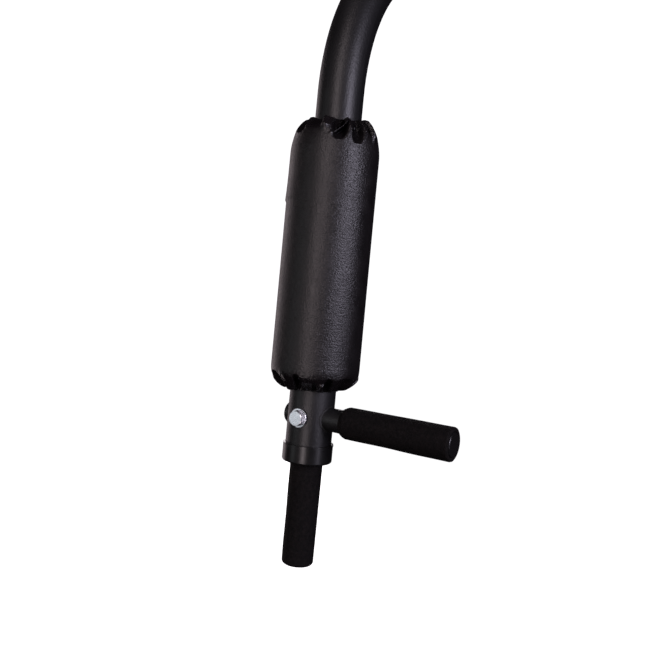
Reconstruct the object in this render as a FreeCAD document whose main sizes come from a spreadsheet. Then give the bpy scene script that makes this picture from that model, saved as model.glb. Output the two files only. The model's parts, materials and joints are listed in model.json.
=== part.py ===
"""Grip arm of a pull up bar station: a bent tube with a padded roller, a side handle and an end grip.

The origin is the centre of the root end face. The root slopes down and forward from it, towards -Y, the
bend turns it straight down, and the arm hangs along -Z. The side handle points to +X and the head of its
bolt faces -Y.
Every size comes from the sheet, in millimetres. Places on the arm are measured from the hub, the point
where the side handle's axis crosses the arm's axis.
"""

import FreeCAD, Part
import math
import os
import re

import Sketcher

SIZES = {
    # the bent arm tube
    "arm_radius": 25.0,
    "arm_wall": 2.0,
    "root_length": 140.0,
    "bend_radius": 225.0,
    "bend_angle": 60.0,
    "hub_below_bend": 346.0,
    "arm_below_hub": 46.8,
    # the two bolt holes through the root
    "root_hole_radius": 5.25,
    "root_hole_inset": 30.0,
    "root_hole_spacing": 50.0,
    # the 25 mm tubes of the side handle and of the end grip
    "grip_tube_radius": 12.5,
    "grip_tube_wall": 2.0,
    "handle_front": 163.3,
    "handle_back": 26.0,
    # the bushes that seat the handle tube in the arm's two walls
    "bush_radius": 13.5,
    "bush_lip_radius": 14.4,
    "bush_lip_height": 0.6,
    "bush_inside": 0.8,
    # the two foam grips
    "foam_edge": 2.5,
    "side_foam_radius": 16.85,
    "side_foam_start": 43.0,
    "side_foam_end": 165.5,
    "side_foam_nose": 13.6,
    "side_foam_bevel": 5.0,
    "end_foam_top_radius": 17.65,
    "end_foam_bottom_radius": 17.2,
    "end_foam_reach": 160.9,
    # push-in plugs
    "plug_stem_radius": 10.5,
    "plug_stem_length": 14.0,
    "plug_head_radius": 12.1,
    "back_plug_head_radius": 11.5,
    "plug_head_height": 2.6,
    "plug_edge": 1.8,
    "plug_hollow_radius": 8.5,
    "plug_hollow_depth": 12.0,
    # the end grip's tube and the two discs that hold it in the arm
    "end_tube_top": 16.0,
    "end_tube_bottom": 157.0,
    "disc_thickness": 4.0,
    "upper_disc_top": 18.0,
    # end collar
    "collar_radius": 27.1,
    "collar_rim_radius": 27.5,
    "collar_rim_height": 1.4,
    "collar_height": 19.6,
    "collar_floor": 2.0,
    "collar_mouth_radius": 18.4,
    "collar_edge": 2.0,
    # M10 flanged bolt, washer and lock nut that hold the side handle
    "bolt_offset": 2.0,
    "bolt_radius": 5.0,
    "bolt_hole_radius": 5.25,
    "bolt_length": 64.5,
    "bolt_flange_radius": 10.3,
    "bolt_flange_height": 1.6,
    "bolt_flange_edge": 0.6,
    "bolt_head_corner": 8.6,
    "bolt_head_height": 5.4,
    "hex_bevel_drop": 0.9,
    "washer_radius": 10.0,
    "washer_thickness": 2.0,
    "nut_corner": 9.2,
    "nut_height": 8.0,
    "nut_ring_radius": 7.4,
    "nut_ring_height": 2.4,
    # padded roller
    "liner_clearance": 0.1,
    "liner_radius": 27.0,
    "liner_low": 40.0,
    "liner_high": 300.0,
    "pad_foam_radius": 46.0,
    "pad_foam_low": 42.0,
    "pad_foam_high": 296.0,
    "pad_foam_low_round": 12.0,
    "pad_foam_high_round": 15.0,
    "cover_radius": 47.9,
    "cover_skin": 1.3,
    "cover_mouth_radius": 27.8,
    "cover_low": 29.3,
    "cover_wall_low": 54.0,
    "cover_wall_high": 279.0,
    "cover_shoulder_radius": 36.0,
    "cover_shoulder_high": 310.5,
    "cover_high": 314.0,
    "elastic_ring_radius": 26.6,
    "elastic_cord_radius": 1.0,
    "elastic_low": 30.6,
    "elastic_high": 312.6,
    "stop_radius": 29.5,
    "stop_height": 6.0,
    "stop_gap": 0.5,
}

BEND_SINE = "sin(bend_angle * 1deg)"
BEND_COSINE = "cos(bend_angle * 1deg)"
HUB_FORWARD = f"(root_length * {BEND_SINE} + bend_radius * (1 - {BEND_COSINE}))"
HUB_DOWN = f"(root_length * {BEND_COSINE} + bend_radius * {BEND_SINE} + hub_below_bend)"
UPRIGHT = FreeCAD.Rotation()
UPSIDE_DOWN = FreeCAD.Rotation(FreeCAD.Vector(1, 0, 0), 180)
TO_HANDLE = FreeCAD.Rotation(FreeCAD.Vector(0, 1, 0), 90)
FROM_HANDLE = FreeCAD.Rotation(FreeCAD.Vector(0, 1, 0), -90)
TO_BOLT_HEAD = FreeCAD.Rotation(FreeCAD.Vector(1, 0, 0), 90)
TO_BOLT_NUT = FreeCAD.Rotation(FreeCAD.Vector(1, 0, 0), -90)
ORIGIN_POINT = (-1, 1)
SUBPARTS = []

doc = FreeCAD.newDocument("GripArm")
sheet = doc.addObject("Spreadsheet::Sheet", "Sizes")


def fill_sheet():
    """Writes the driving dimensions into the sheet, one named cell a row."""
    for row, (alias, number) in enumerate(SIZES.items(), start=1):
        sheet.set(f"A{row}", alias)
        sheet.set(f"B{row}", str(number))
        sheet.setAlias(f"B{row}", alias)
    doc.recompute()


def cell_formula(formula):
    """A formula in aliases, as another object's expression refers to it."""
    return re.sub(r"\b[a-z]\w*", lambda word: f"Sizes.{word[0]}" if word[0] in SIZES else word[0], formula)


def number_of(formula):
    """What a formula in aliases comes to."""
    return float(sheet.evalExpression(formula))


# Building blocks


def keep(item, rotation, along_x="0", along_y="0", along_z="0"):
    """Places a finished sub-part relative to the hub and lists it for writing."""
    item.Placement = FreeCAD.Placement(FreeCAD.Vector(), rotation)
    item.setExpression("Placement.Base.x", cell_formula(along_x))
    item.setExpression("Placement.Base.y", cell_formula(f"{along_y} - {HUB_FORWARD}"))
    item.setExpression("Placement.Base.z", cell_formula(f"{along_z} - {HUB_DOWN}"))
    SUBPARTS.append(item)


def new_body(label):
    owner = doc.addObject("PartDesign::Body", label)
    owner.Label = label
    return owner


def new_sketch(owner, role, name, height="0"):
    """An empty sketch on one of the body's own origin planes, lifted off it by height."""
    sketch = owner.newObject("Sketcher::SketchObject", name)
    plane = next(item for item in owner.Origin.OriginFeatures if item.Role == role)
    sketch.AttachmentSupport = [(plane, "")]
    sketch.MapMode = "FlatFace"
    if height != "0":
        sketch.setExpression("AttachmentOffset.Base.z", cell_formula(height))
    return sketch


def constrain(sketch, kind, references, formula):
    """Adds a dimension to a sketch and ties it to a formula."""
    index = sketch.addConstraint(Sketcher.Constraint(kind, *references, number_of(formula)))
    sketch.setExpression(f"Constraints[{index}]", cell_formula(formula))


def pin_point(sketch, point, across, up):
    """Fixes a point of a sketch at a place, both ways at or beyond the sketch's origin."""
    for kind, formula, axis in (("DistanceX", across, -2), ("DistanceY", up, -1)):
        if formula == "0":
            sketch.addConstraint(Sketcher.Constraint("PointOnObject", *point, axis))
        else:
            constrain(sketch, kind, (*ORIGIN_POINT, *point), formula)


def arc_between(start, end, radius):
    """The arc of that radius from start to end that bulges away from the sketch's vertical axis."""
    chord = end - start
    middle = (start + end) * 0.5
    inward = FreeCAD.Vector(-chord.y, chord.x, 0).normalize()
    if inward.x > 0:
        inward = inward * -1
    centre = middle + inward * math.sqrt(radius**2 - chord.Length**2 / 4)
    angles = sorted(math.atan2(p.y - centre.y, p.x - centre.x) for p in (start, end))
    circle = Part.Circle(centre, FreeCAD.Vector(0, 0, 1), radius)
    return Part.ArcOfCircle(circle, *angles), end.y < start.y


def draw_outline(sketch, corners):
    """A closed outline. A corner is (across, up), and a third entry makes the next side an arc."""
    places = [FreeCAD.Vector(number_of(c[0]), number_of(c[1]), 0) for c in corners]
    ends = []
    for side, corner in enumerate(corners):
        start, end = places[side], places[(side + 1) % len(places)]
        turned = False
        shape = Part.LineSegment(start, end)
        if len(corner) > 2:
            shape, turned = arc_between(start, end, number_of(corner[2]))
        edge = sketch.addGeometry(shape, False)
        ends.append(((edge, 2), (edge, 1)) if turned else ((edge, 1), (edge, 2)))
        if len(corner) > 2:
            constrain(sketch, "Radius", (edge,), corner[2])
    for side, corner in enumerate(corners):
        sketch.addConstraint(Sketcher.Constraint("Coincident", *ends[side - 1][1], *ends[side][0]))
        pin_point(sketch, ends[side][0], corner[0], corner[1])


def turn(owner, corners, kind="PartDesign::Revolution"):
    """Turns a half outline about the body's Z axis, as material or as a groove."""
    profile = new_sketch(owner, "XZ_Plane", "HalfOutline")
    draw_outline(profile, corners)
    feature = owner.newObject(kind, "Turned")
    feature.Profile = profile
    feature.ReferenceAxis = (profile, ["V_Axis"])
    feature.Angle = 360
    doc.recompute()
    return feature


def ring_outline(inner, outer, low, high):
    return [(inner, low), (outer, low), (outer, high), (inner, high)]


def round_ring(owner, feature, radius, height, amount):
    """Fillets the circular edge of that radius at that height."""
    names = []
    for index, edge in enumerate(feature.Shape.Edges, start=1):
        if isinstance(edge.Curve, Part.Circle):
            same_radius = abs(edge.Curve.Radius - number_of(radius)) < 1e-4
            if same_radius and abs(edge.Curve.Center.z - number_of(height)) < 1e-4:
                names.append(f"Edge{index}")
    fillet = owner.newObject("PartDesign::Fillet", "RoundedEdge")
    fillet.Base = (feature, names)
    fillet.setExpression("Radius", cell_formula(amount))
    doc.recompute()
    return fillet


def drill(owner, role, circles):
    """Cuts round holes right through both ways. A circle is (radius, across, up) with signs as +1 or -1."""
    removed = owner.Shape.Volume
    plan = new_sketch(owner, role, "Holes")
    for radius, (across_sign, across), (up_sign, up) in circles:
        centre = FreeCAD.Vector(across_sign * number_of(across), up_sign * number_of(up), 0)
        hole = plan.addGeometry(Part.Circle(centre, FreeCAD.Vector(0, 0, 1), number_of(radius)), False)
        constrain(plan, "Radius", (hole,), radius)
        for kind, sign, formula in (("DistanceX", across_sign, across), ("DistanceY", up_sign, up)):
            points = (*ORIGIN_POINT, hole, 3) if sign > 0 else (hole, 3, *ORIGIN_POINT)
            if formula == "0":
                plan.addConstraint(
                    Sketcher.Constraint("PointOnObject", hole, 3, -2 if kind == "DistanceX" else -1)
                )
            else:
                constrain(plan, kind, points, formula)
    pocket = owner.newObject("PartDesign::Pocket", "Drilled")
    pocket.Profile = plan
    pocket.Type = "ThroughAll"
    pocket.Midplane = True
    doc.recompute()
    removed -= owner.Shape.Volume
    if removed < 1:
        raise RuntimeError(f"the holes in {owner.Label} cut nothing")


def hexagon(owner, corner, low, length, hole=None):
    """Pads a hexagon with that corner radius, with an optional round hole down its middle."""
    plan = new_sketch(owner, "XY_Plane", "Hexagon", low)
    rim = number_of(corner)
    places = [
        FreeCAD.Vector(rim * math.cos(math.radians(a)), rim * math.sin(math.radians(a)), 0)
        for a in range(30, 390, 60)
    ]
    guide = plan.addGeometry(Part.Circle(FreeCAD.Vector(), FreeCAD.Vector(0, 0, 1), rim), True)
    plan.addConstraint(Sketcher.Constraint("Coincident", guide, 3, *ORIGIN_POINT))
    constrain(plan, "Radius", (guide,), corner)
    sides = [
        plan.addGeometry(Part.LineSegment(places[i], places[(i + 1) % 6]), False) for i in range(6)
    ]
    for i, side in enumerate(sides):
        plan.addConstraint(Sketcher.Constraint("Coincident", sides[i - 1], 2, side, 1))
        plan.addConstraint(Sketcher.Constraint("PointOnObject", side, 1, guide))
        if i:
            plan.addConstraint(Sketcher.Constraint("Equal", sides[0], side))
    plan.addConstraint(Sketcher.Constraint("Vertical", sides[2]))
    if hole:
        ring = plan.addGeometry(
            Part.Circle(FreeCAD.Vector(), FreeCAD.Vector(0, 0, 1), number_of(hole)), False
        )
        plan.addConstraint(Sketcher.Constraint("Coincident", ring, 3, *ORIGIN_POINT))
        constrain(plan, "Radius", (ring,), hole)
    pad = owner.newObject("PartDesign::Pad", "HexagonPad")
    pad.Profile = plan
    pad.setExpression("Length", cell_formula(length))
    doc.recompute()
    return pad


def bevel_hexagon(owner, corner, top):
    """Turns the corners of a hexagon's top down to a cone, as on every pressed bolt head and nut."""
    flat_radius = f"{corner} * {math.cos(math.radians(30)):.5f}"
    outside = f"{corner} + hex_bevel_drop"
    cone = [(flat_radius, top), (outside, top), (outside, f"{top} - hex_bevel_drop")]
    turn(owner, cone, "PartDesign::Groove")


# The arm


def draw_arm_path(path):
    """The tube's centre line in the YZ plane, from the foot up, round the bend and out to the origin."""
    root, bend = number_of("root_length"), number_of("bend_radius")
    angle = math.radians(number_of("bend_angle"))
    root_low = FreeCAD.Vector(-root * math.sin(angle), -root * math.cos(angle), 0)
    centre = root_low + FreeCAD.Vector(bend * math.cos(angle), -bend * math.sin(angle), 0)
    straight_top = centre - FreeCAD.Vector(bend, 0, 0)
    foot = straight_top - FreeCAD.Vector(0, number_of("hub_below_bend + arm_below_hub"), 0)
    circle = Part.Circle(centre, FreeCAD.Vector(0, 0, 1), bend)
    straight = path.addGeometry(Part.LineSegment(foot, straight_top), False)
    arc = path.addGeometry(Part.ArcOfCircle(circle, math.pi - angle, math.pi), False)
    root_run = path.addGeometry(Part.LineSegment(root_low, FreeCAD.Vector()), False)
    path.addConstraint(Sketcher.Constraint("Vertical", straight))
    path.addConstraint(Sketcher.Constraint("Tangent", straight, 2, arc, 2))
    path.addConstraint(Sketcher.Constraint("Tangent", arc, 1, root_run, 1))
    path.addConstraint(Sketcher.Constraint("Coincident", root_run, 2, *ORIGIN_POINT))
    constrain(path, "Distance", (straight,), "hub_below_bend + arm_below_hub")
    constrain(path, "Radius", (arc,), "bend_radius")
    constrain(path, "DistanceX", (root_run, 1, *ORIGIN_POINT), f"root_length * {BEND_SINE}")
    constrain(path, "DistanceY", (root_run, 1, *ORIGIN_POINT), f"root_length * {BEND_COSINE}")


def make_arm_tube():
    owner = new_body("arm_tube")
    path = new_sketch(owner, "YZ_Plane", "TubePath")
    draw_arm_path(path)
    section = new_sketch(owner, "XY_Plane", "TubeSection", f"-{HUB_DOWN} - arm_below_hub")
    section.setExpression("AttachmentOffset.Base.y", cell_formula(f"-{HUB_FORWARD}"))
    for radius in ("arm_radius", "arm_radius - arm_wall"):
        circle = Part.Circle(FreeCAD.Vector(), FreeCAD.Vector(0, 0, 1), number_of(radius))
        ring = section.addGeometry(circle, False)
        section.addConstraint(Sketcher.Constraint("Coincident", ring, 3, *ORIGIN_POINT))
        constrain(section, "Radius", (ring,), radius)
    tube = owner.newObject("PartDesign::AdditivePipe", "BentTube")
    tube.Profile = section
    tube.Spine = (path, ["Edge1", "Edge2", "Edge3"])
    doc.recompute()
    holes = [("bush_radius", (-1, HUB_FORWARD), (-1, HUB_DOWN))]
    for inset in ("root_hole_inset", "(root_hole_inset + root_hole_spacing)"):
        place = (-1, f"{inset} * {BEND_SINE}"), (-1, f"{inset} * {BEND_COSINE}")
        holes.append(("root_hole_radius", *place))
    drill(owner, "YZ_Plane", holes)
    drill(owner, "XZ_Plane", [("bolt_hole_radius", (1, "bolt_offset"), (-1, HUB_DOWN))])
    SUBPARTS.append(owner)


def make_arm_collar():
    """A cap over the tube's end with a rolled rim, and a floor that the end grip passes through."""
    owner = new_body("arm_collar")
    rim_low = "collar_height - collar_rim_height"
    body = turn(
        owner,
        [
            ("collar_mouth_radius", "0"),
            ("collar_radius", "0"),
            ("collar_radius", rim_low),
            ("collar_rim_radius", rim_low),
            ("collar_rim_radius", "collar_height"),
            ("arm_radius", "collar_height"),
            ("arm_radius", "collar_floor"),
            ("collar_mouth_radius", "collar_floor"),
        ],
    )
    round_ring(owner, body, "collar_radius", "0", "collar_edge")
    keep(owner, UPRIGHT, along_z="-(arm_below_hub + collar_floor)")


# The side handle


def make_handle_tube():
    owner = new_body("handle_tube")
    bore = "grip_tube_radius - grip_tube_wall"
    turn(owner, ring_outline(bore, "grip_tube_radius", "0", "handle_back + handle_front"))
    drill(owner, "XZ_Plane", [("bolt_hole_radius", (1, "0"), (1, "handle_back + bolt_offset"))])
    keep(owner, TO_HANDLE, along_x="-handle_back")


def cylinder(name, radius, height, rotation=UPRIGHT, low=None):
    item = doc.addObject("Part::Cylinder", name)
    item.setExpression("Radius", cell_formula(radius))
    item.setExpression("Height", cell_formula(height))
    item.Placement = FreeCAD.Placement(FreeCAD.Vector(), rotation)
    if low:
        item.setExpression("Placement.Base.z", cell_formula(low))
    return item


def combine(kind, name, first, second):
    item = doc.addObject(kind, name)
    item.Base = first
    item.Tool = second
    return item


def common(name, first, second):
    item = doc.addObject("Part::MultiCommon", name)
    item.Shapes = [first, second]
    return item


def arm_shell(name, inner, outer):
    """A tall ring about the arm's axis, centred on the hub."""
    tall, low = "4 * bush_lip_radius", "-2 * bush_lip_radius"
    solid = cylinder(f"{name}Outer", outer, tall, low=low)
    hollow = cylinder(f"{name}Inner", inner, tall, low=low)
    return combine("Part::Cut", name, solid, hollow)


def make_handle_bush(label, rotation):
    """A bush in one wall of the arm: a barrel in the hole, a thin lip outside, the handle tube's bore."""
    reach = "2 * arm_radius"
    outside = "arm_radius + bush_lip_height"
    inside = "arm_radius - arm_wall - bush_inside"
    barrel = common(
        f"{label}Barrel",
        arm_shell(f"{label}Wall", inside, outside),
        cylinder(f"{label}Plug", "bush_radius", reach, rotation),
    )
    lip = common(
        f"{label}Lip",
        arm_shell(f"{label}Skin", "arm_radius", outside),
        cylinder(f"{label}Disc", "bush_lip_radius", reach, rotation),
    )
    whole = combine("Part::Fuse", f"{label}Whole", barrel, lip)
    bore = cylinder(f"{label}Bore", "grip_tube_radius", reach, rotation)
    bush = combine("Part::Cut", label, whole, bore)
    bush.Label = label
    keep(bush, UPRIGHT)


def make_side_foam_grip():
    owner = new_body("side_foam_grip")
    length = "side_foam_end - side_foam_start"
    body = turn(
        owner,
        [
            ("grip_tube_radius", "0"),
            ("side_foam_nose", "0"),
            ("side_foam_radius", "side_foam_bevel"),
            ("side_foam_radius", length),
            ("grip_tube_radius", length),
        ],
    )
    round_ring(owner, body, "side_foam_radius", length, "foam_edge")
    keep(owner, TO_HANDLE, along_x="side_foam_start")


def make_plug(label, head_radius, rotation, **place):
    """A push-in tube plug: a hollow stem and a rounded head. Its Z axis points out of the tube."""
    owner = new_body(label)
    top = "plug_stem_length + plug_head_height"
    body = turn(
        owner,
        [
            ("plug_hollow_radius", "0"),
            ("plug_stem_radius", "0"),
            ("plug_stem_radius", "plug_stem_length"),
            (head_radius, "plug_stem_length"),
            (head_radius, top),
            ("0", top),
            ("0", "plug_hollow_depth"),
            ("plug_hollow_radius", "plug_hollow_depth"),
        ],
    )
    round_ring(owner, body, head_radius, top, "plug_edge")
    keep(owner, rotation, **place)


def make_handle_bolt():
    """A flanged hexagon bolt. Its Z axis points out of the head."""
    owner = new_body("handle_bolt")
    flange_top = "bolt_length + bolt_flange_height"
    body = turn(
        owner,
        [
            ("0", "0"),
            ("bolt_radius", "0"),
            ("bolt_radius", "bolt_length"),
            ("bolt_flange_radius", "bolt_length"),
            ("bolt_flange_radius", flange_top),
            ("0", flange_top),
        ],
    )
    round_ring(owner, body, "bolt_flange_radius", flange_top, "bolt_flange_edge")
    hexagon(owner, "bolt_head_corner", flange_top, "bolt_head_height")
    bevel_hexagon(owner, "bolt_head_corner", f"{flange_top} + bolt_head_height")
    keep(owner, TO_BOLT_HEAD, along_x="bolt_offset", along_y="(bolt_length - arm_radius)")


def make_handle_washer():
    owner = new_body("handle_washer")
    turn(owner, ring_outline("bolt_hole_radius", "washer_radius", "0", "washer_thickness"))
    keep(owner, TO_BOLT_NUT, along_x="bolt_offset", along_y="arm_radius")


def make_handle_nut():
    """A lock nut with its raised ring outward."""
    owner = new_body("handle_lock_nut")
    hexagon(owner, "nut_corner", "0", "nut_height", "bolt_radius")
    bevel_hexagon(owner, "nut_corner", "nut_height")
    ring_top = "nut_height + nut_ring_height"
    turn(owner, ring_outline("bolt_radius", "nut_ring_radius", "nut_height", ring_top))
    keep(owner, TO_BOLT_NUT, along_x="bolt_offset", along_y="arm_radius + washer_thickness")


# The end grip


def make_disc(label, top):
    """A steel disc across the inside of the arm with a hole for the end grip's tube."""
    owner = new_body(label)
    inner_wall = "arm_radius - arm_wall"
    turn(owner, ring_outline("grip_tube_radius", inner_wall, "0", "disc_thickness"))
    keep(owner, UPRIGHT, along_z=f"-({top} + disc_thickness)")


def make_end_grip_tube():
    owner = new_body("end_grip_tube")
    bore = "grip_tube_radius - grip_tube_wall"
    turn(owner, ring_outline(bore, "grip_tube_radius", "0", "end_tube_bottom - end_tube_top"))
    keep(owner, UPRIGHT, along_z="-end_tube_bottom")


def make_end_foam_grip():
    owner = new_body("end_foam_grip")
    length = "end_foam_reach - arm_below_hub"
    body = turn(
        owner,
        [
            ("grip_tube_radius", "0"),
            ("end_foam_bottom_radius", "0"),
            ("end_foam_top_radius", length),
            ("grip_tube_radius", length),
        ],
    )
    round_ring(owner, body, "end_foam_bottom_radius", "0", "foam_edge")
    keep(owner, UPRIGHT, along_z="-end_foam_reach")


# The padded roller


def make_pad_liner():
    owner = new_body("pad_liner")
    bore = "arm_radius + liner_clearance"
    turn(owner, ring_outline(bore, "liner_radius", "liner_low", "liner_high"))
    keep(owner, UPRIGHT)


def make_pad_foam():
    owner = new_body("pad_foam")
    body = turn(owner, ring_outline("liner_radius", "pad_foam_radius", "pad_foam_low", "pad_foam_high"))
    body = round_ring(owner, body, "pad_foam_radius", "pad_foam_low", "pad_foam_low_round")
    round_ring(owner, body, "pad_foam_radius", "pad_foam_high", "pad_foam_high_round")
    keep(owner, UPRIGHT)


def arc_onto_wall(run, rise):
    """The radius of an arc that ends upright, after it has gone that far across and up."""
    return f"(({run})^2 + ({rise})^2) / (2 * ({run}))"


def make_pad_cover():
    """The leather skin: a straight wall with a rounded low end and a long tapered high end."""
    owner = new_body("pad_cover")
    inner_wall = "(cover_radius - cover_skin)"
    inner_shoulder = "(cover_shoulder_radius - cover_skin)"
    inner_shoulder_high = "(cover_shoulder_high - cover_skin)"
    low_rise = "(cover_wall_low - cover_low)"
    high_rise = "(cover_shoulder_high - cover_wall_high)"
    outer_low = arc_onto_wall("cover_radius - cover_mouth_radius", low_rise)
    outer_high = arc_onto_wall("cover_radius - cover_shoulder_radius", high_rise)
    inner_high = arc_onto_wall(f"{inner_wall} - {inner_shoulder}", f"{high_rise} - cover_skin")
    inner_low = arc_onto_wall(f"{inner_wall} - cover_mouth_radius", f"{low_rise} - cover_skin")
    turn(
        owner,
        [
            ("cover_mouth_radius", "cover_low", outer_low),
            ("cover_radius", "cover_wall_low"),
            ("cover_radius", "cover_wall_high", outer_high),
            ("cover_shoulder_radius", "cover_shoulder_high"),
            ("cover_mouth_radius", "cover_high"),
            ("cover_mouth_radius", "cover_high - cover_skin"),
            (inner_shoulder, inner_shoulder_high, inner_high),
            (inner_wall, "cover_wall_high"),
            (inner_wall, "cover_wall_low", inner_low),
            ("cover_mouth_radius", "cover_low + cover_skin"),
        ],
    )
    keep(owner, UPRIGHT)


def make_pad_elastic(label, height):
    ring = doc.addObject("Part::Torus", label)
    ring.Label = label
    ring.setExpression("Radius1", cell_formula("elastic_ring_radius"))
    ring.setExpression("Radius2", cell_formula("elastic_cord_radius"))
    keep(ring, UPRIGHT, along_z=height)


def make_pad_stop(label, low):
    """A ring fixed on the arm tube, just past one end of the roller's liner."""
    owner = new_body(label)
    turn(owner, ring_outline("arm_radius", "stop_radius", "0", "stop_height"))
    keep(owner, UPRIGHT, along_z=low)


def check_and_write():
    """Stops at anything that failed to build, then writes one STEP file for each sub-part."""
    doc.recompute()
    failed = [o.Name for o in doc.Objects if {"Invalid", "Error"} & set(o.State)]
    if failed:
        raise RuntimeError(f"failed objects: {failed}")
    os.makedirs("parts", exist_ok=True)
    for item in SUBPARTS:
        if item.Shape.isNull() or not item.Shape.isValid():
            raise RuntimeError(f"{item.Label} has no valid shape")
        item.Shape.exportStep(f"parts/{item.Label}.step")
        box = item.Shape.BoundBox
        print(
            f"{item.Label}: {len(item.Shape.Solids)} solid, {item.Shape.Volume / 1000:.2f} cm3,"
            f" x {box.XMin:.1f}..{box.XMax:.1f} y {box.YMin:.1f}..{box.YMax:.1f}"
            f" z {box.ZMin:.1f}..{box.ZMax:.1f}"
        )


fill_sheet()
make_arm_tube()
make_arm_collar()
make_handle_tube()
make_handle_bush("handle_bush_front", TO_HANDLE)
make_handle_bush("handle_bush_back", FROM_HANDLE)
make_side_foam_grip()
make_plug("handle_end_plug", "plug_head_radius", TO_HANDLE, along_x="handle_front - plug_stem_length")
make_plug("handle_back_plug", "back_plug_head_radius", FROM_HANDLE, along_x="plug_stem_length - handle_back")
make_handle_bolt()
make_handle_washer()
make_handle_nut()
make_disc("grip_upper_disc", "upper_disc_top")
make_disc("grip_lower_disc", "arm_below_hub - disc_thickness")
make_end_grip_tube()
make_end_foam_grip()
make_plug(
    "end_grip_plug", "plug_head_radius", UPSIDE_DOWN, along_z="plug_stem_length - end_tube_bottom"
)
make_pad_liner()
make_pad_foam()
make_pad_cover()
make_pad_elastic("pad_low_elastic", "elastic_low")
make_pad_elastic("pad_high_elastic", "elastic_high")
make_pad_stop("pad_low_stop", "liner_low - stop_gap - stop_height")
make_pad_stop("pad_high_stop", "liner_high + stop_gap")
check_and_write()
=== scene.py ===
"""Looks of the padded grip arm: gathered leather cover, foam grips, coated tube, plastic and zinc."""

import json
import math

import bmesh
import bpy
import numpy as np
from mathutils import Matrix, Vector


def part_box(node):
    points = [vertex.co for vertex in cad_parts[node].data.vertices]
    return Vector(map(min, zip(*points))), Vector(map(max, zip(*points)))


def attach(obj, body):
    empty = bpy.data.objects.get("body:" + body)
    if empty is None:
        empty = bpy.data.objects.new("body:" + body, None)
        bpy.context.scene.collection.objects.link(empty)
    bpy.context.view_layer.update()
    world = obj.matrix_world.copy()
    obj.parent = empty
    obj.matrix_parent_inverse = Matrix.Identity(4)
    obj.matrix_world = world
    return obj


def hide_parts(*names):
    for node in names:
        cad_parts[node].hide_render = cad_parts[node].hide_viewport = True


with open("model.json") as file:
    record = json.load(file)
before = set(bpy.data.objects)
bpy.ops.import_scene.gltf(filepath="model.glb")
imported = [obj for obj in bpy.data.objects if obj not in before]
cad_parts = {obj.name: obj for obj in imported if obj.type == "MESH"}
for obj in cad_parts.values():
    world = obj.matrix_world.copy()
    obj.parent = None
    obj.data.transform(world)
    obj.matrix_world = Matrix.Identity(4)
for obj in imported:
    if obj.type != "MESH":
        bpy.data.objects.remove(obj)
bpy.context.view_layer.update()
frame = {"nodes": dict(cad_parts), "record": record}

MM = 0.001


def middle(node):
    low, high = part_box(node)
    return (low + high) / 2


# The hub is where the side handle's axis crosses the arm's axis.
HUB = Vector((0, middle("arm_collar").y, middle("handle_tube").z))
PAD_LOW, PAD_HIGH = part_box("pad_cover")
# In millimetres, like all the cover's sizes below.
PAD_RADIUS = (PAD_HIGH.x - PAD_LOW.x) / 2 / MM
CAMERA_AZIMUTH, CAMERA_ELEVATION, CAMERA_ROLL = 33.46, 1.32, 5.34
CAMERA_TARGET = HUB + Vector((3.9, 5.3, 99.4)) * MM
CAMERA_DISTANCE = 0.70595
CAMERA_LENS, CAMERA_SENSOR = 36.02, 36


# ---------------------------------------------------------------- materials


def new_material(name, colour, roughness, **sockets):
    """A Principled material. Returns it with its tree and shader, ready for more nodes."""
    material = bpy.data.materials.new(name)
    material.use_nodes = True
    tree = material.node_tree
    shader = next(n for n in tree.nodes if n.type == "BSDF_PRINCIPLED")
    shader.inputs["Base Color"].default_value = (*colour, 1)
    shader.inputs["Roughness"].default_value = roughness
    for socket, value in sockets.items():
        shader.inputs[socket.replace("_", " ")].default_value = value
    return material, tree, shader


def place_node(tree):
    return tree.nodes.new("ShaderNodeTexCoord").outputs["Object"]


def stretched(tree, source, scale):
    mapping = tree.nodes.new("ShaderNodeMapping")
    mapping.inputs["Scale"].default_value = scale
    tree.links.new(source, mapping.inputs["Vector"])
    return mapping.outputs["Vector"]


def noise_node(tree, source, scale, detail=4, roughness=0.5):
    node = tree.nodes.new("ShaderNodeTexNoise")
    node.inputs["Scale"].default_value = scale
    node.inputs["Detail"].default_value = detail
    node.inputs["Roughness"].default_value = roughness
    tree.links.new(source, node.inputs["Vector"])
    return node.outputs["Fac"]


def cells_node(tree, source, scale, feature="F1"):
    node = tree.nodes.new("ShaderNodeTexVoronoi")
    node.feature = feature
    node.inputs["Scale"].default_value = scale
    tree.links.new(source, node.inputs["Vector"])
    return node.outputs["Distance"]


def remap(tree, value, from_low, from_high, to_low, to_high):
    node = tree.nodes.new("ShaderNodeMapRange")
    for socket, number in zip(("From Min", "From Max", "To Min", "To Max"),
                              (from_low, from_high, to_low, to_high)):
        node.inputs[socket].default_value = number
    tree.links.new(value, node.inputs["Value"])
    return node.outputs["Result"]


def combine(tree, first, second, operation="ADD"):
    node = tree.nodes.new("ShaderNodeMath")
    node.operation = operation
    for socket, value in zip(node.inputs, (first, second)):
        if isinstance(value, (int, float)):
            socket.default_value = value
        else:
            tree.links.new(value, socket)
    return node.outputs["Value"]


def add_bump(tree, shader, layers):
    """Stacks bumps. A layer is (height, depth in metres, strength)."""
    normal = None
    for height, distance, strength in layers:
        bump = tree.nodes.new("ShaderNodeBump")
        bump.inputs["Distance"].default_value = distance
        bump.inputs["Strength"].default_value = strength
        tree.links.new(height, bump.inputs["Height"])
        if normal:
            tree.links.new(normal, bump.inputs["Normal"])
        normal = bump.outputs["Normal"]
    tree.links.new(normal, shader.inputs["Normal"])


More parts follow.
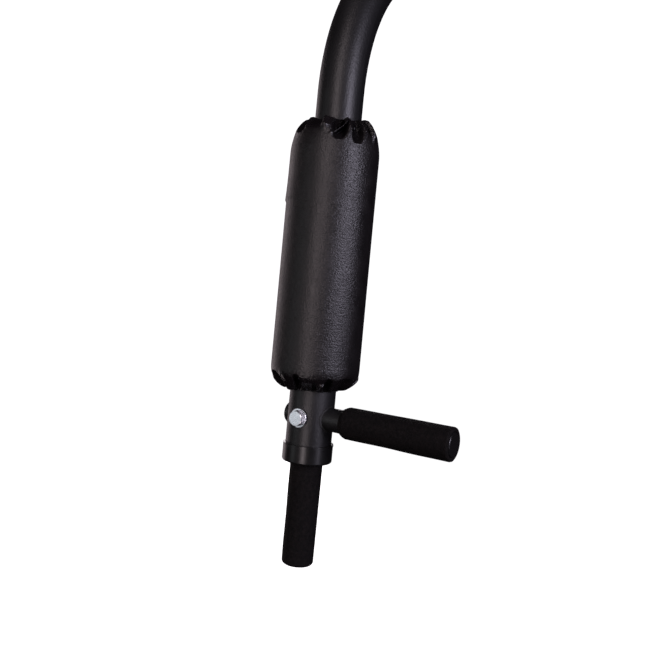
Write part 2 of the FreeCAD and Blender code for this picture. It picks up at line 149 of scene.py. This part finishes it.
def add_tint(tree, shader, value, dark, light):
    """Colours the surface between two colours by a value from 0 to 1."""
    ramp = tree.nodes.new("ShaderNodeValToRGB")
    ramp.color_ramp.elements[0].color = (*dark, 1)
    ramp.color_ramp.elements[1].color = (*light, 1)
    tree.links.new(value, ramp.inputs["Fac"])
    tree.links.new(ramp.outputs["Color"], shader.inputs["Base Color"])


# How much smoother the leather is where it is stretched at the drawn ends.
END_SHINE = 0.15
# How far round the leather looks for the folds, for the painted shade they cast on it, in metres.
SHADE_REACH = 0.024


def leather_material():
    """Pebbled leather with fine cross wrinkles, and painted shade that darkens its colour and dulls its
    reflections down in the folds.
    """
    material, tree, shader = new_material("black_leather", (0.006, 0.0055, 0.006), 0.38)
    place = place_node(tree)
    pebbles = cells_node(tree, place, 820, "SMOOTH_F1")
    pores = noise_node(tree, place, 2400, 2)
    hide = noise_node(tree, place, 60, 5)
    wrinkles = noise_node(tree, stretched(tree, place, (1, 1, 9)), 55, 5, 0.6)
    creases = cells_node(tree, stretched(tree, place, (1, 1, 2.2)), 180, "DISTANCE_TO_EDGE")
    add_bump(tree, shader, [
        (remap(tree, creases, 0, 0.12, 0, 1), 0.00012, 0.25),
        (wrinkles, 0.0009, 0.42),
        (pebbles, 0.0005, 0.7),
        (pores, 0.0001, 0.3),
    ])
    split = tree.nodes.new("ShaderNodeSeparateXYZ")
    tree.links.new(place, split.inputs["Vector"])
    height = split.outputs["Z"]
    low_end = remap(tree, height, PAD_LOW.z + 0.026, PAD_LOW.z + 0.012, 0, END_SHINE)
    high_end = remap(tree, height, PAD_HIGH.z - 0.024, PAD_HIGH.z - 0.006, 0, END_SHINE)
    stretch = combine(tree, low_end, high_end, "MAXIMUM")
    grain_roughness = remap(tree, combine(tree, hide, pebbles), 0.4, 1.2, 0.31, 0.44)
    tree.links.new(combine(tree, grain_roughness, stretch, "SUBTRACT"), shader.inputs["Roughness"])
    # Painted shade: an occlusion probe darkens the colour and cuts the reflections in the folds and
    # pockets.
    fold_shade_probe = tree.nodes.new("ShaderNodeAmbientOcclusion")
    fold_shade_probe.samples = 8
    fold_shade_probe.inputs["Distance"].default_value = SHADE_REACH
    unshaded_share = remap(tree, fold_shade_probe.outputs["AO"], 0.48, 0.92, 0, 1)
    tree.links.new(remap(tree, unshaded_share, 0, 1, 0.02, 0.5), shader.inputs["Specular IOR Level"])
    # The colour mixes the hide's random tone with the painted shade of the folds.
    tone = combine(tree, remap(tree, hide, 0.3, 0.7, 0.5, 1), unshaded_share, "MULTIPLY")
    add_tint(tree, shader, tone, (0.0008, 0.0006, 0.0008), (0.0070, 0.0056, 0.0062))
    return material


def coat_material():
    material, tree, shader = new_material("powder_coat", (0.006, 0.006, 0.0065), 0.44)
    place = place_node(tree)
    orange_peel = noise_node(tree, place, 420, 3)
    speckle = noise_node(tree, place, 2600, 2)
    patches = noise_node(tree, place, 14, 4)
    add_bump(tree, shader, [(orange_peel, 0.0005, 0.55), (speckle, 0.00008, 0.4)])
    tree.links.new(remap(tree, patches, 0.3, 0.7, 0.41, 0.48), shader.inputs["Roughness"])
    shade = remap(tree, patches, 0.3, 0.7, 0, 1)
    add_tint(tree, shader, shade, (0.005, 0.005, 0.0055), (0.008, 0.008, 0.009))
    return material


def foam_material():
    material, tree, shader = new_material(
        "grip_foam", (0.003, 0.002, 0.002), 0.85, Specular_IOR_Level=0.2
    )
    place = place_node(tree)
    cells = cells_node(tree, place, 1500)
    lumps = noise_node(tree, place, 500, 4, 0.65)
    shade = noise_node(tree, place, 260, 4)
    add_bump(tree, shader, [(lumps, 0.0008, 0.8), (cells, 0.0004, 0.6)])
    tree.links.new(remap(tree, lumps, 0.3, 0.7, 0.72, 0.95), shader.inputs["Roughness"])
    tone = remap(tree, shade, 0.35, 0.65, 0, 1)
    add_tint(tree, shader, tone, (0.0006, 0.0003, 0.0004), (0.0044, 0.0028, 0.0029))
    return material


def plastic_material(name, roughness, colour):
    material, tree, shader = new_material(name, (colour,) * 3, roughness)
    place = place_node(tree)
    grain = noise_node(tree, place, 1800, 3)
    scuffs = noise_node(tree, stretched(tree, place, (1, 1, 6)), 90, 5, 0.7)
    add_bump(tree, shader, [(grain, 0.00005, 0.2)])
    tree.links.new(remap(tree, scuffs, 0.3, 0.75, roughness - 0.04, roughness + 0.08),
                   shader.inputs["Roughness"])
    tone = remap(tree, scuffs, 0.3, 0.8, 0, 1)
    add_tint(tree, shader, tone, (colour * 0.8,) * 3, (colour * 1.2,) * 3)
    return material


def zinc_material():
    material, tree, shader = new_material("zinc_plate", (0.80, 0.83, 0.88), 0.3, Metallic=1.0)
    place = place_node(tree)
    crystals = cells_node(tree, place, 700)
    brushed = noise_node(tree, stretched(tree, place, (1, 1, 8)), 500, 3)
    add_bump(tree, shader, [(brushed, 0.00003, 0.25), (crystals, 0.00004, 0.15)])
    tree.links.new(remap(tree, brushed, 0.3, 0.7, 0.22, 0.38), shader.inputs["Roughness"])
    add_tint(tree, shader, remap(tree, crystals, 0, 0.8, 0, 1), (0.72, 0.76, 0.82), (0.86, 0.88, 0.92))
    return material


def elastic_material():
    material, tree, shader = new_material("elastic", (0.012, 0.012, 0.012), 0.8)
    place = place_node(tree)
    braid = cells_node(tree, stretched(tree, place, (1, 1, 1.6)), 1400)
    add_bump(tree, shader, [(braid, 0.0003, 0.8)])
    return material


def core_material():
    material, tree, shader = new_material("core_foam", (0.1, 0.1, 0.1), 0.95)
    add_bump(tree, shader, [(cells_node(tree, place_node(tree), 900), 0.0004, 0.6)])
    return material


MATERIALS = {
    "powder_coat": coat_material(),
    "collar_plastic": plastic_material("collar_plastic", 0.31, 0.006),
    "plug_plastic": plastic_material("plug_plastic", 0.24, 0.007),
    "inner_plastic": plastic_material("inner_plastic", 0.5, 0.010),
    "zinc": zinc_material(),
    "grip_foam": foam_material(),
    "pad_leather": leather_material(),
    "core_foam": core_material(),
    "elastic": elastic_material(),
}


def dress(piece, slot):
    piece.data.materials.clear()
    piece.data.materials.append(MATERIALS[slot])


for row in frame["record"]["subparts"]:
    dress(frame["nodes"][row["node"]], row["material_slot"])


# ---------------------------------------------------------------- turned shapes

# Side, forward and up of a turned shape, for the pad and for the two grips.
UPRIGHT = (1, 0, 0), (0, 1, 0), (0, 0, 1)
DOWNWARD = (1, 0, 0), (0, -1, 0), (0, 0, -1)
SIDEWAYS = (0, 0, -1), (0, 1, 0), (1, 0, 0)
# The distance between two points on an arc, in millimetres.
ARC_STEP = 0.5


def along(points, step):
    """A polyline resampled to about one point every step millimetres, as an array of (r, u)."""
    points = np.array(points, float)
    lengths = np.hypot(*np.diff(points, axis=0).T)
    walked = np.concatenate([[0], np.cumsum(lengths)])
    stops = np.linspace(0, walked[-1], max(2, round(walked[-1] / step) + 1))
    return np.stack([np.interp(stops, walked, points[:, k]) for k in (0, 1)], axis=1)


def arc(centre, radius, start, end):
    """Points on an arc in the (r, u) half plane, angles in degrees from +r towards +u."""
    count = max(3, round(abs(math.radians(end - start)) * radius / ARC_STEP))
    angles = np.radians(np.linspace(start, end, count))
    turns = zip(np.cos(angles), np.sin(angles))
    return [(centre[0] + radius * c, centre[1] + radius * s) for c, s in turns]


def ring_mesh(name, radius, height, turned, axes, slot):
    """A closed skin from grids of radius, height and angle. Rows go round the section's loop."""
    rows, columns = radius.shape
    parts = radius * np.sin(turned), -radius * np.cos(turned), height
    place = sum(np.multiply.outer(part, axis) for part, axis in zip(parts, axes))
    place = place * MM + np.array(HUB)
    row, column = np.meshgrid(np.arange(rows), np.arange(columns), indexing="ij")
    next_row, next_column = (row + 1) % rows, (column + 1) % columns
    quads = np.stack([row * columns + column, row * columns + next_column,
                      next_row * columns + next_column, next_row * columns + column], axis=-1)
    mesh = bpy.data.meshes.new(name)
    mesh.from_pydata(place.reshape(-1, 3).tolist(), [], quads.reshape(-1, 4).tolist())
    mesh.polygons.foreach_set("use_smooth", [True] * len(mesh.polygons))
    mesh.validate()
    piece = bpy.data.objects.new(name, mesh)
    bpy.context.scene.collection.objects.link(piece)
    dress(piece, slot)
    return piece


def smooth_step(low, high, value):
    share = np.clip((value - low) / (high - low), 0, 1)
    return share * share * (3 - 2 * share)


def waves(angle, height, seed, count, steepness):
    """Smooth unevenness round and along a tube, between about -1 and 1."""
    draw = np.random.default_rng(seed)
    total = np.zeros(np.broadcast(angle, height).shape)
    for _ in range(count):
        around, phase = draw.integers(1, 7), draw.uniform(0, 2 * math.pi)
        total += np.sin(around * angle + phase + height * draw.uniform(-steepness, steepness))
    return total / math.sqrt(count)


# ---------------------------------------------------------------- the padded cover

# Heights and radii in millimetres, heights above the hub.
COVER_COLUMNS = 640
WALL_LOW, WALL_HIGH = 54.0, 279.0
LOW_HEM, HIGH_HEM = 29.8, 319.4
# Pockets between the pleats of each drawn end: bearing from the camera's in degrees, growing to the
# right, half width in degrees, reach from the hem, lean over that reach in degrees, extra hollow.
HIGH_POCKETS = (
    (-104, 15, 24, 3, 0.5), (-72, 13, 31, 14, 3.0), (-38, 14, 29, 5, -0.5), (3, 10.5, 41, -2, 3.5),
    (35, 9.5, 42.5, -9, 4.0), (51.5, 4.0, 30, -1, 2.5), (68, 7.0, 35, -4, 2.5), (92, 9, 30, -4, 1.0),
    (121, 10, 25, 5, 2.0), (150, 11, 33, -6, 2.5), (181, 9, 27, 4, 2.0), (207, 10, 32, -5, 2.5),
    (232, 8, 26, 5, 2.0),
)
LOW_POCKETS = (
    (-104, 12, 25, 3, 1.0), (-66, 13, 28.5, 2, 3.5), (-27.5, 5.4, 28, 7, 3.5), (-11, 9, 22, 1, -2.0),
    (3, 3.0, 20, -2, 0.5), (24, 5.6, 26, -5, 3.5), (52, 13.5, 27, -8, 2.5), (85, 9.5, 25, 2, 2.0),
    (112, 10, 27, -5, 2.0), (140, 9, 31, 4, 2.0), (167, 10, 26, -4, 2.5), (196, 9, 29, 5, 2.0),
    (225, 9, 25, -4, 2.0),
)
# Thin pleats that curl through a pocket: bearing at the hem, height of the pleat, half width in
# degrees, reach and lean.
HIGH_PLEATS = (
    (15, 6.5, 2.6, 36, -25), (7, 3.0, 1.8, 24, -12), (-19, 3.8, 4.2, 33, 2),
    (59, 2.8, 2.8, 39, -3), (-54, 1.8, 3.5, 28, 8),
)
LOW_PLEATS = ((13, 3.4, 4.2, 19, -2), (69, 2.6, 2.4, 31, 2), (-48, 2.2, 2.6, 31, 2), (-86, 1.6, 6, 22, 2))
# How square a pocket is across, and how pointed a pleat.
POCKET_SQUARENESS, PLEAT_POINT = 4.5, 2.2
# Where a pocket starts to narrow to its round end, and over what length, as shares of its reach.
NOSE_START, NOSE_LENGTH = 0.55, 0.47
# How far the leather between the pockets sinks, as a share of a pocket's depth, and its reach.
SUNK, SINK_REACH = 0.30, 25.0
# How much lower the high hem hangs in front than at the sides.
FRONT_SAG = 6.2
# How much higher the low hem is drawn at the right.
LOW_RIGHT_LIFT = 2.4
# A shallow crease that runs part of the way round the body.
CREASE_HEIGHT = 228.0
# The least radius at each height, which keeps the cover clear of the liner and the elastics.
CLEAR_HEIGHTS = 31, 32.5, 33, 40, 42, 298, 300, 307, 309, 315
CLEAR_RADII = 28.2, 28.6, 30.2, 30.2, 28.0, 28.0, 30.2, 30.2, 28.6, 28.2


def cover_section():
    """The outer profile from the low hem to the high hem, then the inner way back, as (r, u)."""
    low_round = arc((22.4, WALL_LOW), PAD_RADIUS - 22.4, -70, 0)
    wall = along([low_round[-1], (PAD_RADIUS, WALL_HIGH)], 2.5)[1:-1]
    high_round = arc((-20.1, WALL_HIGH), PAD_RADIUS + 20.1, 0, 33)
    low_lip = along([(28.4, LOW_HEM), low_round[0]], 0.5)[:-1]
    high_lip = along([high_round[-1], (34.6, 318.4), (33.4, HIGH_HEM), (28.6, HIGH_HEM)], 0.5)[1:]
    outer = np.concatenate([low_lip, low_round, wall, high_round, high_lip])
    inner = along([(27.9, 317.5), (27.9, 309.4), (31.4, 307.6), (31.4, 299.8), (27.4, 299.2),
                   (27.4, 40.8), (31.0, 40.2), (31.0, 32.5), (27.9, 32.0), (27.9, 30.6)], 4.0)
    return outer, inner


def offset_from(bearing, centre):
    return (bearing - centre + math.pi) % (2 * math.pi) - math.pi


def chord(outer, distance, reach):
    """Where a pocket's leather lies if it runs straight from the hem to the body at its reach."""
    order = np.argsort(distance[:, 0])
    hem = outer[order[0]]
    end = [np.interp(reach, distance[order, 0], outer[order, k]) for k in (0, 1)]
    share = np.clip(distance / reach, 0, 1)
    return [hem[k] + (end[k] - hem[k]) * share for k in (0, 1)]


def gather(outer, distance, bearing, pockets, pleats):
    """How far the pockets and pleats of one end move it outward and upward, and where pockets lie."""
    outward, upward, filled = (np.zeros(bearing.shape) for _ in range(3))
    sink = chord(outer, distance, SINK_REACH)
    for place, half_width, reach, lean, hollow in pockets:
        share = np.clip(distance / reach, 0, 1)
        nose = np.maximum(share - NOSE_START, 0) / NOSE_LENGTH
        rounding = np.sqrt(np.maximum(1 - nose ** 2, 0.01))
        width = math.radians(half_width) * (1 - 0.10 * share) * rounding
        across = offset_from(bearing, np.radians(place + lean * share)) / width
        mask = np.exp(-np.abs(across) ** POCKET_SQUARENESS) * (1 - smooth_step(0.93, 1.0, share))
        straight = chord(outer, distance, reach)
        outward += mask * (straight[0] - outer[:, :1] - hollow * np.sin(math.pi * share ** 1.7))
        upward += mask * (straight[1] - outer[:, 1:])
        filled += mask
    shared = np.maximum(filled, 1)
    near_hem = 1 - smooth_step(0.9, 1.0, distance / SINK_REACH)
    ridge = SUNK * (1 - np.minimum(filled, 1)) * near_hem
    outward = outward / shared + ridge * (sink[0] - outer[:, :1])
    upward = upward / shared + ridge * (sink[1] - outer[:, 1:])
    for place, high, half_width, reach, lean in pleats:
        share = np.clip(distance / reach, 0, 1.2)
        fade = 1 - smooth_step(0.65, 1.05, share)
        centre = np.radians(place + lean * share ** 1.4)
        across = offset_from(bearing, centre) / math.radians(half_width)
        outward += high * fade * np.exp(-np.abs(across) ** PLEAT_POINT)
    return outward, upward, np.minimum(filled, 1)


def draw_in(outer, walked, bearing, radius, height):
    """Gathers both ends by their pockets and pleats, and ruffles them near the hem."""
    low_end = walked, LOW_POCKETS, LOW_PLEATS, -1
    high_end = walked[-1] - walked, HIGH_POCKETS, HIGH_PLEATS, 1
    for distance, pockets, pleats, lift in (low_end, high_end):
        wander = np.radians(2.2) * waves(bearing, distance * 0.25, 31 + lift, 6, 1.0)
        outward, upward, filled = gather(outer, distance, bearing + wander, pockets, pleats)
        near = 1 - smooth_step(8, 34, distance)
        ruffle = waves(bearing * 7, distance * 0.3, 11 + lift, 7, 1.0)
        radius += outward + near * (1.9 * (1 - filled) + 0.25 * ruffle)
        stands = 1 - smooth_step(0, 16, distance)
        ripple = 0.4 * waves(bearing * 2, distance, 5 + lift, 6, 0)
        height += upward + lift * stands * (0.9 - 1.5 * filled + ripple)


def settle(walked, bearing, radius, height):
    """Hangs the hems unevenly and leaves the padded body slightly uneven."""
    from_high = walked[-1] - walked
    front = np.clip(np.cos(bearing + math.radians(6)), 0, 1) ** 0.8
    height -= FRONT_SAG * front * (1 - smooth_step(2, 30, from_high))
    body = smooth_step(0, 30, walked) * smooth_step(0, 30, from_high)
    radius += body * 0.3 * waves(bearing, height * 0.02, 3, 8, 1.0)
    right = np.clip(np.cos(bearing - math.radians(80)), 0, 1)
    height += LOW_RIGHT_LIFT * right * (1 - smooth_step(2, 26, walked))


def crease(bearing, radius, height):
    """Swells the body above the crease at the left and cuts a fine groove across the front."""
    above = height - CREASE_HEIGHT - 1.5 * np.sin(bearing * 2)
    at_left = np.exp(-(offset_from(bearing, math.radians(-92)) / 0.75) ** 2)
    radius += at_left * 1.3 * smooth_step(-1.0, 0.8, above) * np.exp(-np.clip(above, 0, None) / 16)
    across_front = smooth_step(-1.9, -1.2, bearing) * (1 - smooth_step(0.4, 1.1, bearing))
    radius -= across_front * 0.35 * np.exp(-(above / 1.3) ** 2)


def inner_skin(inner, high_hem):
    """The cover's inside, kept under the high hem where that hangs low."""
    radius = np.broadcast_to(inner[:, :1], (len(inner), COVER_COLUMNS))
    height = np.broadcast_to(inner[:, 1:], radius.shape).copy()
    top = height > 307
    height[top] = np.minimum(height, high_hem - 0.6)[top]
    return radius, height


def make_cover():
    outer, inner = cover_section()
    angle = np.linspace(-math.pi, math.pi, COVER_COLUMNS, endpoint=False)
    bearing = np.broadcast_to(angle, (len(outer), COVER_COLUMNS))
    walked = np.concatenate([[0], np.cumsum(np.hypot(*np.diff(outer, axis=0).T))])[:, None]
    radius, height = (np.broadcast_to(outer[:, k:k + 1], bearing.shape).copy() for k in (0, 1))
    draw_in(outer, walked, bearing, radius, height)
    settle(walked, bearing, radius, height)
    crease(bearing, radius, height)
    radius = np.maximum(radius, np.interp(height, CLEAR_HEIGHTS, CLEAR_RADII))
    inner_radius, inner_height = inner_skin(inner, height[-1])
    turned = np.concatenate([bearing, np.broadcast_to(angle, inner_radius.shape)])
    cover = ring_mesh("pad_leather_cover", np.concatenate([radius, inner_radius]),
                      np.concatenate([height, inner_height]),
                      turned + math.radians(CAMERA_AZIMUTH), UPRIGHT, "pad_leather")
    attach(cover, "pad")
    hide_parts("pad_cover", "pad_foam")


# ---------------------------------------------------------------- the foam grips

GRIP_COLUMNS = 220
# How far a grip's skin strays from round, in millimetres.
SKIN_UNEVENNESS = 0.13


def make_grip(name, node, axes, start, end, radii, seed):
    """A foam sleeve with a bevelled inner end, a rounded outer end and a slightly uneven skin."""
    inner_radius, outer_start, outer_end = radii
    section = along([(inner_radius, start + 0.6), (inner_radius + 0.7, start), (outer_start - 3.2, start),
                     (outer_start - 2.4, start + 0.4), (outer_start - 0.5, start + 4.4),
                     (outer_start, start + 6.0), (outer_end, end - 2.0), (outer_end - 0.5, end - 0.7),
                     (outer_end - 1.7, end), (inner_radius + 0.7, end), (inner_radius, end - 0.6)], 0.7)
    angle = np.linspace(-math.pi, math.pi, GRIP_COLUMNS, endpoint=False)
    turned = np.broadcast_to(angle, (len(section), GRIP_COLUMNS))
    height = np.broadcast_to(section[:, 1:], turned.shape)
    radius = np.broadcast_to(section[:, :1], turned.shape).copy()
    skin = smooth_step(inner_radius + 1.5, inner_radius + 3.5, radius)
    radius += skin * SKIN_UNEVENNESS * waves(turned, height * 0.12, seed, 9, 1.0)
    grip = ring_mesh(name, radius, height, turned, axes, "grip_foam")
    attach(grip, "arm")
    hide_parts(node)


# ---------------------------------------------------------------- the stage

# The lamps aim at the middle of the pad, this far above the hub. All in metres.
LAMP_AIM = 0.15
DOME_RADIUS = 6
FLOOR_BELOW_HUB = 0.8


def aim_matrix(azimuth, elevation, roll, target, distance):
    """Where a camera or lamp stands that looks at target. Angles in degrees, distance in metres."""
    turn = Matrix.Rotation(math.radians(azimuth), 4, "Z")
    tilt = Matrix.Rotation(math.radians(90 - elevation), 4, "X")
    lean = Matrix.Rotation(math.radians(roll), 4, "Z")
    facing = turn @ tilt @ lean
    return Matrix.Translation(target + facing.to_3x3() @ Vector((0, 0, distance))) @ facing


def make_camera():
    data = bpy.data.cameras.new("camera")
    data.sensor_width = CAMERA_SENSOR
    data.lens = CAMERA_LENS
    camera = bpy.data.objects.new("camera", data)
    bpy.context.scene.collection.objects.link(camera)
    camera.matrix_world = aim_matrix(
        CAMERA_AZIMUTH, CAMERA_ELEVATION, CAMERA_ROLL, CAMERA_TARGET, CAMERA_DISTANCE
    )
    bpy.context.scene.camera = camera


def make_lamp(name, to_right, elevation, distance, size, power, colour, target_up=0.0):
    """A softbox. to_right is its bearing in degrees from the camera's, as seen from the object."""
    data = bpy.data.lights.new(name, "AREA")
    data.shape = "RECTANGLE"
    data.size, data.size_y = size
    data.energy = power
    data.color = colour
    lamp = bpy.data.objects.new(name, data)
    bpy.context.scene.collection.objects.link(lamp)
    target = HUB + Vector((0, 0, LAMP_AIM + target_up))
    lamp.matrix_world = aim_matrix(CAMERA_AZIMUTH + to_right, elevation, 0, target, distance)
    lamp.visible_camera = False


def make_stage():
    """A pale floor well below the hanging arm, inside a large pale dome."""
    material, tree, shader = new_material("pale_paper", (0.9, 0.9, 0.9), 0.9)
    shader.inputs["Emission Color"].default_value = (1, 1, 1, 1)
    shader.inputs["Emission Strength"].default_value = 1.0
    mesh = bpy.data.meshes.new("studio")
    shape = bmesh.new()
    bmesh.ops.create_uvsphere(shape, u_segments=48, v_segments=24, radius=DOME_RADIUS)
    for vertex in shape.verts:
        vertex.co.z = max(vertex.co.z, -FLOOR_BELOW_HUB)
    bmesh.ops.recalc_face_normals(shape, faces=shape.faces)
    shape.to_mesh(mesh)
    shape.free()
    studio = bpy.data.objects.new("studio", mesh)
    bpy.context.scene.collection.objects.link(studio)
    studio.location = HUB
    studio.data.materials.append(material)
    studio.visible_glossy = False
    studio.visible_diffuse = False
    world = bpy.data.worlds.new("world")
    world.use_nodes = True
    world.node_tree.nodes["Background"].inputs["Color"].default_value = (0.014, 0.011, 0.014, 1)
    bpy.context.scene.world = world
    bpy.context.scene.view_settings.view_transform = "Standard"


make_cover()
make_grip("side_grip_sleeve", "side_foam_grip", SIDEWAYS, 43.0, 165.5, (12.6, 16.85, 16.85), 21)
make_grip("end_grip_sleeve", "end_foam_grip", DOWNWARD, 46.9, 160.9, (12.6, 17.65, 17.2), 22)
make_camera()
make_stage()
# Name, bearing, elevation, distance, size, power, colour, and how far above LAMP_AIM it points.
make_lamp("warm_strip", -19, 0, 2.2, (0.5, 4.2), 37, (1.0, 0.87, 0.90), 0.75)
make_lamp("cool_box", 47, 0, 2.2, (0.28, 1.30), 34, (0.87, 0.82, 1.0), 0.72)
make_lamp("cool_low_box", 52, 0, 2.2, (0.50, 1.15), 3.2, (0.87, 0.82, 1.0), -0.48)
make_lamp("left_panel", -138, 0, 2.4, (1.4, 2.6), 12, (1.0, 0.86, 0.90))
make_lamp("back_fill", 184, 8, 3.0, (0.4, 2.6), 15, (1.0, 0.94, 0.97))
make_lamp("bolt_panel", -68, 0, 2.4, (0.8, 1.4), 4.2, (0.93, 0.97, 1.0))
